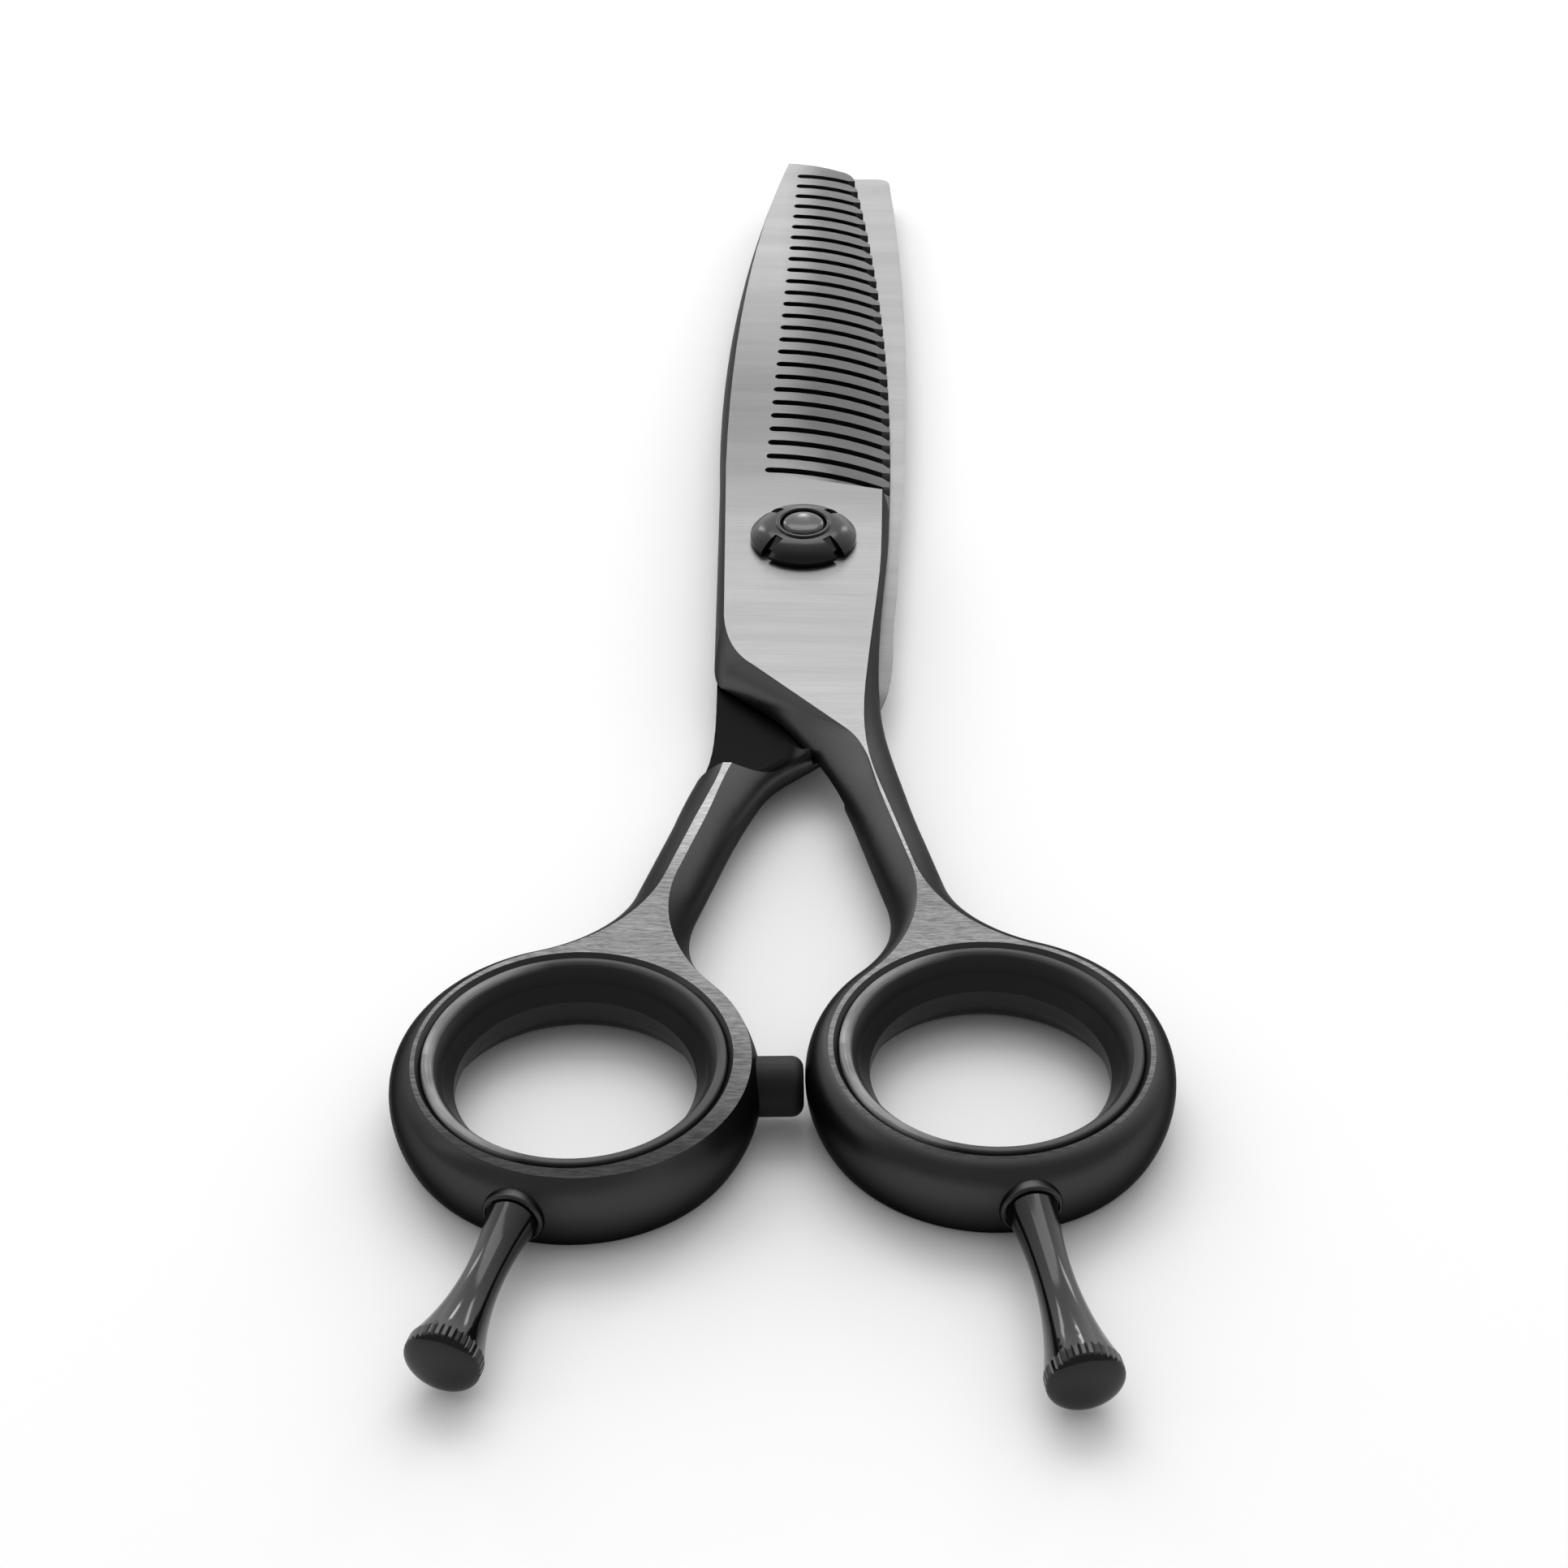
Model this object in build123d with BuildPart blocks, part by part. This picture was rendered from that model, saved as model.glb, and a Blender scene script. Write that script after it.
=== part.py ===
from build123d import *
from math import asin, cos, degrees, radians, sin, sqrt
import os

# Thinning shears, lying flat and closed, in millimetres.
# Origin: the pivot axis, on the plane the shears lie on. +Y points to the blade tips, +Z up.
# The lower half carries the plain blade and the ring on the -X side; the upper half carries
# the comb blade and the ring on the +X side. Both halves are drawn closed.

os.makedirs("parts", exist_ok=True)

# ---------------------------------------------------------------- driving dimensions
thickness = 6.4              # handles and the two stacked blades at the pivot
mid_height = thickness / 2
blade_gap = 0.2              # running gap between the two halves
lower_top = mid_height - blade_gap / 2     # inner face of the lower half
upper_bottom = mid_height + blade_gap / 2  # inner face of the upper half

blade_taper_start = 5.0      # Y where the outer faces begin to thin
blade_tip_y = 74.2
blade_taper_drop = 1.55      # how much each outer face has come in at the tip
blade_room = blade_tip_y + 10    # the recesses run past the blade tips
cut_room = 2.0               # the blade cutters stand this far clear of the steel
comb_end = (2.4, blade_tip_y - 0.9)    # right end of the comb's slanting blunt end
plain_end = (6.0, blade_tip_y)         # right end of the plain blade's blunt end
taper_radius = (blade_tip_y - blade_taper_start) ** 2 / (2 * blade_taper_drop)

slot_count = 26
slot_first_y = 11.3
slot_pitch = 2.39
slot_width = 0.88
slot_overrun = 0.2           # the slots run this far past the start of the tooth relief
slot_mouth_width = 1.9       # the slots flare here and leave pointed teeth
slot_mouth_depth = 0.8
tooth_tip_thickness = 0.7
root_near = (-3.55, 11.0)    # slot bottoms lie on the line between these two
root_far = (-2.0, 71.0)
tip_vertex = (7.75, 12.0)    # tooth tips lie on a parabola from here
tip_curve = 461.0
relief_near = ((-3.54, 10.76), (6.88, 8.33))    # the curved tooth relief starts on this line

edge_start = (-6.0, 12.6)    # cutting edge of the plain blade
edge_slope = 0.163
edge_belly = 0.0004
edge_thickness = 0.35

ring_radius = 13.5
ring_face_radius = 11.85
ring_shoulder_radius = 13.25
ring_base_radius = 12.6
shoulder_height = 1.7        # the sides are fuller than a plain curve this far from mid height
shoulder_share = 0.28
ring_hole_radius = 11.08
ring_hole_chamfer = 0.4
web_radius = 12.0            # concave blend from shank to ring, at mid height
web_face_radius = 14.0
blank_split = 27.0           # weld between blade and handle, from the ring centre
shank_top = 29.0             # end of the straight shank, from the ring centre

comb_ring = (15.1, -65.6)
comb_lean = 15.15            # shank axis, degrees from +Y toward -X
comb_shank = (2.25, 2.55)    # shank widths left and right of its axis, at mid height
comb_ridge = (0.15, 0.12)    # the same on the ground ridge along its top
comb_rest_angle = -79.0
comb_rest_length = 30.4      # its stud stands a little further out of its seat
comb_recess_radius = 34.0    # under the upper half, clears the lower half

plain_ring = (-15.0, -67.6)
plain_lean = -15.55
plain_shank = (2.75, 2.3)
plain_ridge = (0.4, 0.38)
plain_band_shift = 0.53      # its ring is ground off more on the side of the other ring
plain_band_radius = 12.3
plain_rest_angle = -104.4
plain_rest_length = 28.2
heel_start = (-4.9, -32.5)   # the lower half's recess ends here and clears the upper half's heel
heel_middle = (-1.0, -30.8)
heel_end = (1.25, -28.15)
heel_exit = (2.93, -31.6)
heel_corner = (-3.4, -21.5)
heel_fillet = 2.4

bore_radius = 8.8            # waist of the finger hole
waist_half = 0.6             # half length of the straight waist
crease_radius = 9.5          # the liner's wall meets its flared mouth in a crease
crease_depth = 1.4
insert_outer_radius = 11.06
insert_crest_radius = 10.75
insert_crest_depth = 0.08
insert_mouth_radius = 10.3   # the crest rolls over into the flare here
insert_mouth_depth = 0.22
crease_pull = (0.25, 0.5)    # how far out and in the flare bends before its crease

rest_seat = 13.85            # all finger rest and bumper distances are from the ring centre
rest_base_radius = 1.85
rest_waist_radius = 1.39
rest_flare_radius = 1.68
rest_end_radius = 2.72
rest_waist_share = 0.33      # where along its length the trumpet is thinnest
rest_flare_share = 0.62      # and where it has begun to flare
rest_foot_round = (0.25, 0.3)
stud_gap = 0.25              # the stud ends this far outside the liner's seat
rest_thread_radius = 1.25
boss_radius = 2.25
boss_edge_radius = 0.25
boss_socket_radius = 1.98
boss_socket_depth = 0.25
knurl_length = 0.7
knurl_count = 36
knurl_groove = 0.2
knurl_overrun = 0.25
rest_dome_height = 0.75
rest_dome_pull = (0.3, 1.8)  # the dome's edge is rounded, its middle nearly flat

bumper_angle = 2.5
bumper_seat = 12.9
bumper_end = 16.55
bumper_radius = 2.22
bumper_stem_radius = 1.1
bumper_edge_radius = 0.9

screw_head_radius = 4.0
screw_head_height = 1.3
screw_shank_radius = 2.5
screw_thread_radius = 2.0
screw_dome_radius = 1.85
screw_shoulder = thickness - 0.05
screw_thread_end = 7.9
screw_top = 8.45
screw_dome_start = screw_thread_end + 0.15
screw_head_chamfer = 0.3
flat_half_width = 1.7
spanner_hole_radius = 0.6    # two holes in the screw head take a pin spanner
spanner_hole_reach = 2.4
spanner_hole_depth = 0.8
fit = 0.03                   # radial clearance of running fits
sleeve_radius = 3.1
sleeve_flange_radius = 3.9
sleeve_flange_height = 0.5
washer_radius = 5.2
washer_recess = 0.35

dial_radius = 4.65
dial_bottom = thickness + 0.1
dial_height = 1.78
dial_top = dial_bottom + dial_height
dial_shoulder = (dial_radius, dial_bottom + 0.42)
dial_rim_width = 0.42        # raised rim round the screw's domed end
dial_slot_width = 0.95       # four slots cross the dial's shoulder
dial_slot_start = (2.9, dial_top - 0.4)
dial_slot_bend = (3.95, dial_bottom + 0.6)
dial_edge_chamfer = 0.15
dial_pocket_radius = 3.5
dial_pocket_height = 0.75
thrust_washer_radius = 3.2
thrust_washer_height = 0.3
spring_outer_radius = 3.15
spring_inner_radius = 2.2
spring_sheet = 0.25
spring_foot = thickness + 0.02 + thrust_washer_height
spring_top = dial_bottom + dial_pocket_height


def taper_drop(y):
    """How far an outer blade face has come in toward the inner faces at y."""
    run = max(0.0, y - blade_taper_start)
    return taper_radius - sqrt(taper_radius ** 2 - run ** 2)


def root_x(y):
    share = (y - root_near[1]) / (root_far[1] - root_near[1])
    return root_near[0] + share * (root_far[0] - root_near[0])


def tooth_tip_x(y):
    return tip_vertex[0] - max(0.0, y - tip_vertex[1]) ** 2 / (2 * tip_curve)


def edge_x(y):
    """Cutting edge of the plain blade: nearly straight, slightly bellied."""
    run = y - edge_start[1]
    return edge_start[0] + edge_slope * run - edge_belly * run ** 2


def handle_point(ring, lean, along, across):
    """A point given from the ring centre: along the shank toward the pivot, and across to +X."""
    angle = radians(lean)
    x = ring[0] - along * sin(angle) + across * cos(angle)
    y = ring[1] + along * cos(angle) + across * sin(angle)
    return (x, y)


def polar_point(centre, radius, angle):
    return (centre[0] + radius * cos(radians(angle)), centre[1] + radius * sin(radians(angle)))


def handle_edges(ring, lean, widths, radius, blend):
    """Shank sides, concave blends and ring, from the right shank side round to the left."""
    scale = radius / (radius + blend)

    def side(sign, width):
        centre_across = width + blend
        centre_along = sqrt((radius + blend) ** 2 - centre_across ** 2)
        turn = degrees(asin(centre_along / (radius + blend)))
        top = handle_point(ring, lean, shank_top, sign * width)
        tangent = handle_point(ring, lean, centre_along, sign * width)
        bulge_across = sign * (centre_across - blend * cos(radians(turn / 2)))
        bulge_along = centre_along - blend * sin(radians(turn / 2))
        middle = handle_point(ring, lean, bulge_along, bulge_across)
        end = handle_point(ring, lean, centre_along * scale, sign * centre_across * scale)
        return top, tangent, middle, end

    left_top, left_tangent, left_middle, left_end = side(-1, widths[0])
    right_top, right_tangent, right_middle, right_end = side(1, widths[1])
    far_side = handle_point(ring, lean, -radius, 0)
    Line(right_top, right_tangent)
    ThreePointArc(right_tangent, right_middle, right_end)
    ThreePointArc(right_end, far_side, left_end)
    ThreePointArc(left_end, left_middle, left_tangent)
    Line(left_tangent, left_top)


def shank_direction(lean):
    return (-sin(radians(lean)), cos(radians(lean)))


# ---------------------------------------------------------------- outlines of the two halves
def comb_outline(height, ring, widths, radius, blend, spine, corner, crotch, flank, tips):
    """Outline of the upper half: spine, diagonal edge, handle, flank, tooth tips, blunt end."""
    up = shank_direction(comb_lean)
    down = (-up[0], -up[1])
    left_top = handle_point(ring, comb_lean, shank_top, -widths[0])
    right_top = handle_point(ring, comb_lean, shank_top, widths[1])
    diagonal = (crotch[0][0] - corner[2][0], crotch[0][1] - corner[2][1])
    with BuildSketch(Plane.XY.offset(height)) as outline:
        with BuildLine():
            ThreePointArc(*spine)
            Line(spine[2], corner[0])
            Bezier(*corner)
            Line(corner[2], crotch[0])
            Spline(*crotch, left_top, tangents=(diagonal, down))
            handle_edges(ring, comb_lean, widths, radius, blend)
            Spline(right_top, *flank, tips[0], tangents=(up, (0, 1)))
            ThreePointArc(*tips)
            Bezier(tips[2], (tips[2][0] - 0.2, comb_end[1]), comb_end)
            Line(comb_end, spine[0])
        make_face()
    return outline.sketch


# ground outer face of the upper half: narrow ridge on the shank, flat on blade and ring
comb_face = {
    "ring": comb_ring,
    "widths": comb_ridge,
    "radius": ring_face_radius,
    "blend": web_face_radius,
    "spine": ((-2.6, 74.2), (-5.95, 49), (-7.3, 12)),
    "corner": ((-6.5, -12.0), (-6.1, -16.9), (-3.8, -18.95)),
    "crotch": ((4.0, -27.5), (4.8, -28.55), (5.35, -29.7)),
    "flank": ((6.05, -31.3), (5.55, -26.3), (5.76, -18.9), (6.49, -8.5)),
    "tips": ((6.9, 8.0), (6.2, 44.5), (3.4, 71.6)),
}

# widest outline of the upper half, at mid height
comb_waist = {
    "ring": comb_ring,
    "widths": comb_shank,
    "radius": ring_radius,
    "blend": web_radius,
    "spine": ((-3.4, 74.2), (-7.0, 50), (-7.9, 12)),
    "corner": ((-7.2, -15.6), (-7.05, -17.8), (-6.3, -18.35)),
    "crotch": ((-3.1, -21.3), (1.1, -27.1), (3.2, -31.4)),
    "flank": ((8.95, -32.6), (7.35, -25.0), (6.75, -16.0), (7.1, -4.0)),
    "tips": ((7.6, 8.0), (6.7, 44.5), (3.9, 71.6)),
}


def plain_outline(height, ring, widths, radius, blend, edge, left, right, spine):
    """Outline of the lower half: cutting edge, left flank, handle, right flank, spine, end."""
    up = shank_direction(plain_lean)
    down = (-up[0], -up[1])
    left_top = handle_point(ring, plain_lean, shank_top, -widths[0])
    right_top = handle_point(ring, plain_lean, shank_top, widths[1])
    with BuildSketch(Plane.XY.offset(height)) as outline:
        with BuildLine():
            ThreePointArc(*edge)
            Bezier(edge[2], (left[0][0], 8.0), left[0])
            Spline(*left, left_top, tangents=((0, -1), down))
            handle_edges(ring, plain_lean, widths, radius, blend)
            Spline(right_top, *right, spine[0], tangents=(up, (0, 1)))
            ThreePointArc(*spine)
            Bezier(spine[2], (spine[2][0] - 0.1, plain_end[1]), plain_end)
            Line(plain_end, edge[0])
        make_face()
    return outline.sketch


plain_face = {
    "ring": plain_ring,
    "widths": plain_ridge,
    "radius": ring_face_radius,
    "blend": web_face_radius,
    "edge": ((2.2, 74.0), (-1.0, 45), (-5.8, 12.6)),
    "left": ((-6.3, 4.0), (-6.0, -20.0), (-5.6, -25.0), (-5.5, -28.5), (-5.7, -32.3)),
    "right": ((-4.95, -32.3), (-4.0, -30.0), (-2.5, -27.5), (4.0, -20.0), (6.6, -13.0)),
    "spine": ((7.65, 3.0), (8.35, 38), (6.8, 73)),
}

plain_waist = {
    "ring": plain_ring,
    "widths": plain_shank,
    "radius": ring_radius,
    "blend": web_radius,
    "edge": ((2.0, 74.1), (-1.2, 45), (-6.0, 12.6)),
    "left": ((-7.2, 4.0), (-6.85, -19.0), (-6.8, -25.3), (-7.1, -28.6), (-8.95, -35.2)),
    "right": ((-3.3, -35.2), (-1.2, -30.9), (1.7, -28.1), (7.2, -19.6), (8.0, -9.0)),
    "spine": ((8.45, 3.0), (9.15, 38), (7.5, 73)),
}


# top face of the lower half: the same shank ridge, and the ring's band wider on its right
plain_top = {
    **plain_face,
    "ring": handle_point(plain_ring, plain_lean, 0, plain_band_shift),
    "widths": (plain_ridge[0] + plain_band_shift, plain_ridge[1] - plain_band_shift),
    "radius": plain_band_radius,
}


def between(first, second, share):
    """Part of the way from one number, point or outline to another."""
    if isinstance(first, dict):
        return {key: between(first[key], second[key], share) for key in first}
    if isinstance(first, tuple):
        return tuple(between(a, b, share) for a, b in zip(first, second))
    return first + share * (second - first)


def stack_outlines(outline, top, face, waist):
    """The sections of a half: flat faces, full rounded sides, ring fuller than the shank."""
    shoulder = {**between(waist, face, shoulder_share), "radius": ring_shoulder_radius}
    base = {**face, "radius": ring_base_radius}
    return (
        outline(0, **base),
        outline(mid_height - shoulder_height, **shoulder),
        outline(mid_height, **waist),
        outline(mid_height + shoulder_height, **shoulder),
        outline(thickness, **top),
    )


# ---------------------------------------------------------------- shared features of a half
def comb_recess_outline():
    """Everything inside a circle about the pivot, and the whole blade beyond it."""
    Circle(comb_recess_radius)
    Rectangle(2 * comb_recess_radius, blade_room, align=(Align.CENTER, Align.MIN))


def plain_recess_outline():
    """Everything beyond a curved heel wall, and the whole blade."""
    left = -comb_recess_radius
    ThreePointArc(heel_start, heel_middle, heel_end)
    Polyline(heel_end, (heel_end[0], blade_room), (left, blade_room), (left, heel_start[1]), heel_start)


def heel_clearance_outline():
    """Sharp cut along the upper half's diagonal edge, where the filleted wall would meet it."""
    right = comb_recess_radius
    Polyline(
        heel_corner, heel_end, heel_exit, (right, heel_exit[1]), (right, blade_room),
        (heel_corner[0], blade_room), heel_corner,
    )


def radial_plane(ring, angle, distance):
    """Plane square to a radius of a ring, at mid height."""
    origin = polar_point(ring, distance, angle)
    outward = (cos(radians(angle)), sin(radians(angle)), 0)
    return Plane(origin=(origin[0], origin[1], mid_height), x_dir=(0, 0, 1), z_dir=outward)


def profile_plane(ring, angle):
    """Plane through the ring centre with X along a radius and Y up, for turned pieces."""
    outward = (cos(radians(angle)), sin(radians(angle)), 0)
    return Plane(
        origin=(ring[0], ring[1], mid_height),
        x_dir=outward,
        z_dir=(sin(radians(angle)), -cos(radians(angle)), 0),
    )


def vertical_plane(y):
    """Plane across the blades at y, with X to +X and Y up."""
    return Plane(origin=(0, y, 0), x_dir=(1, 0, 0), z_dir=(0, -1, 0))


def weld_plane(ring, lean):
    origin = handle_point(ring, lean, blank_split, 0)
    up = shank_direction(lean)
    return Plane(origin=(origin[0], origin[1], mid_height), z_dir=(up[0], up[1], 0))


def ring_boss(ring, rest_angle):
    """Raised round pad on the ring that the finger rest screws into."""
    with BuildPart() as boss:
        with BuildSketch(radial_plane(ring, rest_angle, rest_seat - 2.0)):
            Circle(boss_radius)
        extrude(amount=2.0)
        outward = Axis((ring[0], ring[1], mid_height), radial_plane(ring, rest_angle, 1).z_dir)
        fillet(boss.faces().sort_by(outward)[-1].edges(), boss_edge_radius)
    return boss.part


def cut_ring(ring, rest_angle):
    """Cuts the liner hole, the boss socket and the stud hole."""
    with BuildSketch(Plane(origin=(ring[0], ring[1], 0))) as liner_circle:
        Circle(ring_hole_radius)
    with BuildSketch(radial_plane(ring, rest_angle, rest_seat - boss_socket_depth)) as socket_circle:
        Circle(boss_socket_radius)
    with BuildSketch(radial_plane(ring, rest_angle, ring_hole_radius - 1.0)) as stud_circle:
        Circle(rest_thread_radius)
    extrude(liner_circle.sketch, amount=thickness, mode=Mode.SUBTRACT)
    extrude(socket_circle.sketch, amount=1.0, mode=Mode.SUBTRACT)
    extrude(stud_circle.sketch, amount=rest_seat - ring_hole_radius + 1.0, mode=Mode.SUBTRACT)


comb_boss = ring_boss(comb_ring, comb_rest_angle)
plain_boss = ring_boss(plain_ring, plain_rest_angle)


# ---------------------------------------------------------------- upper half
with BuildPart() as tooth_relief:
    for station in (4.0, 29.2, 53.1, 77.0):
        root = (root_x(station), thickness - taper_drop(station))
        tip = (tooth_tip_x(station) + 0.6, upper_bottom + tooth_tip_thickness - 0.15)
        with BuildSketch(vertical_plane(station)):
            with BuildLine():
                TangentArc(root, tip, tangent=(1, 0))
                Polyline(tip, (tip[0], thickness + cut_room), (root[0], thickness + cut_room), root)
            make_face()
    loft()
    near_x, near_y = relief_near[0]
    far_x, far_y = relief_near[1]
    toward_tips = (near_y - far_y, far_x - near_x, 0)
    relief_start = Plane(origin=(near_x, near_y, 0), x_dir=(0, 0, 1), z_dir=toward_tips)
    split(bisect_by=relief_start, keep=Keep.TOP)

with BuildPart() as comb_half:
    for section in stack_outlines(comb_outline, comb_face, comb_face, comb_waist):
        add(section)
    loft()
    with BuildSketch(Plane.XY):
        comb_recess_outline()
    extrude(amount=upper_bottom, mode=Mode.SUBTRACT)
    with BuildSketch(Plane.YZ):
        with BuildLine():
            near = (blade_taper_start, thickness)
            far = (blade_tip_y + 5, thickness - taper_drop(blade_tip_y + 5))
            TangentArc(near, far, tangent=(1, 0))
            Polyline(far, (far[0], thickness + cut_room), (near[0], thickness + cut_room), near)
        make_face()
    extrude(amount=20, both=True, mode=Mode.SUBTRACT)
    add(tooth_relief.part, mode=Mode.SUBTRACT)
    for slot in range(slot_count):
        y = slot_first_y + slot * slot_pitch
        root = root_x(y) - slot_overrun
        tip = tooth_tip_x(y)
        half = slot_width / 2
        mouth = slot_mouth_width / 2
        with BuildSketch(Plane.XY.offset(mid_height)):
            with BuildLine():
                ThreePointArc((root + half, y - half), (root, y), (root + half, y + half))
                Polyline(
                    (root + half, y + half), (tip - slot_mouth_depth, y + half), (tip + 0.1, y + mouth),
                    (tip + 2, y + mouth), (tip + 2, y - mouth), (tip + 0.1, y - mouth),
                    (tip - slot_mouth_depth, y - half), (root + half, y - half),
                )
            make_face()
        extrude(amount=thickness, mode=Mode.SUBTRACT)
    with Locations((0, 0, thickness)):
        CounterBoreHole(sleeve_radius + 0.02, sleeve_flange_radius + 0.02, sleeve_flange_height)
    add(comb_boss)
    cut_ring(comb_ring, comb_rest_angle)

with BuildPart() as comb_blade:
    add(comb_half.part)
    split(bisect_by=weld_plane(comb_ring, comb_lean), keep=Keep.TOP)
comb_blade.part.label = "comb_blade"
export_step(comb_blade.part, "parts/comb_blade.step")

with BuildPart() as comb_handle:
    add(comb_half.part)
    split(bisect_by=weld_plane(comb_ring, comb_lean), keep=Keep.BOTTOM)
    ring_hole_edges = comb_handle.edges().filter_by(GeomType.CIRCLE)
    ring_hole_edges = ring_hole_edges.filter_by(lambda edge: abs(edge.radius - ring_hole_radius) < 0.01)
    chamfer(ring_hole_edges, ring_hole_chamfer)
comb_handle.part.label = "comb_handle"
export_step(comb_handle.part, "parts/comb_handle.step")

# ---------------------------------------------------------------- lower half
with BuildPart() as plain_recess:
    with BuildSketch(Plane.XY.offset(lower_top)):
        with BuildLine():
            plain_recess_outline()
        make_face()
    extrude(amount=thickness)
    floor_edges = plain_recess.edges().group_by(Axis.Z)[0]
    fillet(floor_edges.sort_by_distance((*heel_middle, lower_top))[0:2], heel_fillet)

with BuildPart() as heel_clearance:
    with BuildSketch(Plane.XY.offset(lower_top)):
        with BuildLine():
            heel_clearance_outline()
        make_face()
    extrude(amount=thickness)

with BuildPart() as edge_relief:
    for station, width, share in ((6.0, 5.5, 0.05), (20.0, 5.5, 1.0), (48.0, 5.0, 1.0), (77.0, 3.2, 1.0)):
        bottom = taper_drop(station)
        inner = (edge_x(station) + width, bottom)
        outer = (edge_x(station) - 0.6, bottom + share * (lower_top - edge_thickness - bottom))
        with BuildSketch(vertical_plane(station)):
            with BuildLine():
                Polyline(inner, outer, (outer[0], -cut_room), (inner[0], -cut_room), inner)
            make_face()
    loft()

with BuildPart() as plain_half:
    for section in stack_outlines(plain_outline, plain_top, plain_face, plain_waist):
        add(section)
    loft()
    add(plain_recess.part, mode=Mode.SUBTRACT)
    add(heel_clearance.part, mode=Mode.SUBTRACT)
    with BuildSketch(Plane.YZ):
        with BuildLine():
            near = (blade_taper_start, 0)
            far = (blade_tip_y + 5, taper_drop(blade_tip_y + 5))
            TangentArc(near, far, tangent=(1, 0))
            Polyline(far, (far[0], -cut_room), (near[0], -cut_room), near)
        make_face()
    extrude(amount=20, both=True, mode=Mode.SUBTRACT)
    add(edge_relief.part, mode=Mode.SUBTRACT)
    with Locations(Plane.XY.rotated((180, 0, 0))):
        CounterBoreHole(screw_shank_radius + 0.01, screw_head_radius + 0.01, screw_head_height)
    with BuildSketch(Plane.XY.offset(lower_top - washer_recess)):
        Circle(washer_radius + 0.05)
    extrude(amount=washer_recess, mode=Mode.SUBTRACT)
    add(plain_boss)
    cut_ring(plain_ring, plain_rest_angle)
    with BuildSketch(radial_plane(plain_ring, bumper_angle, bumper_seat)):
        Circle(bumper_radius + 0.01)
    extrude(amount=2.0, mode=Mode.SUBTRACT)
    with BuildSketch(radial_plane(plain_ring, bumper_angle, ring_hole_radius - 1.0)):
        Circle(bumper_stem_radius)
    extrude(amount=bumper_seat - ring_hole_radius + 1.5, mode=Mode.SUBTRACT)

with BuildPart() as plain_blade:
    add(plain_half.part)
    split(bisect_by=weld_plane(plain_ring, plain_lean), keep=Keep.TOP)
plain_blade.part.label = "plain_blade"
export_step(plain_blade.part, "parts/plain_blade.step")

with BuildPart() as plain_handle:
    add(plain_half.part)
    split(bisect_by=weld_plane(plain_ring, plain_lean), keep=Keep.BOTTOM)
    ring_hole_edges = plain_handle.edges().filter_by(GeomType.CIRCLE)
    ring_hole_edges = ring_hole_edges.filter_by(lambda edge: abs(edge.radius - ring_hole_radius) < 0.01)
    chamfer(ring_hole_edges, ring_hole_chamfer)
plain_handle.part.label = "plain_handle"
export_step(plain_handle.part, "parts/plain_handle.step")


# ---------------------------------------------------------------- liners, finger rests, bumper
def insert_mouth(rim, face, inward):
    """One mouth of the liner: rolled crest, concave flare, crease, sloping wall to the waist."""
    crest = (insert_crest_radius, face + inward * insert_crest_depth)
    mouth = (insert_mouth_radius, face + inward * insert_mouth_depth)
    crease = (crease_radius, face + inward * crease_depth)
    Bezier((insert_outer_radius, rim), (insert_outer_radius, crest[1]), crest)
    Bezier(crest, ((crest[0] + mouth[0]) / 2, crest[1]), mouth)
    Bezier(mouth, (crease_radius + crease_pull[0], mouth[1] + inward * crease_pull[1]), crease)
    Line(crease, (bore_radius, mid_height - inward * waist_half))


def ring_insert(ring):
    """Liner of a finger ring: short straight waist between two flared mouths."""
    rim_low = ring_hole_chamfer
    rim_high = thickness - ring_hole_chamfer
    with BuildPart() as insert:
        with BuildSketch(Plane(origin=(ring[0], ring[1], 0), x_dir=(1, 0, 0), z_dir=(0, -1, 0))):
            with BuildLine():
                Line((insert_outer_radius, rim_low), (insert_outer_radius, rim_high))
                insert_mouth(rim_high, thickness, -1)
                Line((bore_radius, mid_height + waist_half), (bore_radius, mid_height - waist_half))
                insert_mouth(rim_low, 0, 1)
            make_face()
        revolve(axis=Axis((ring[0], ring[1], 0), (0, 0, 1)))
    return insert.part


for name, ring in (("comb_ring_insert", comb_ring), ("plain_ring_insert", plain_ring)):
    insert = ring_insert(ring)
    insert.label = name
    export_step(insert, "parts/" + name + ".step")


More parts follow.
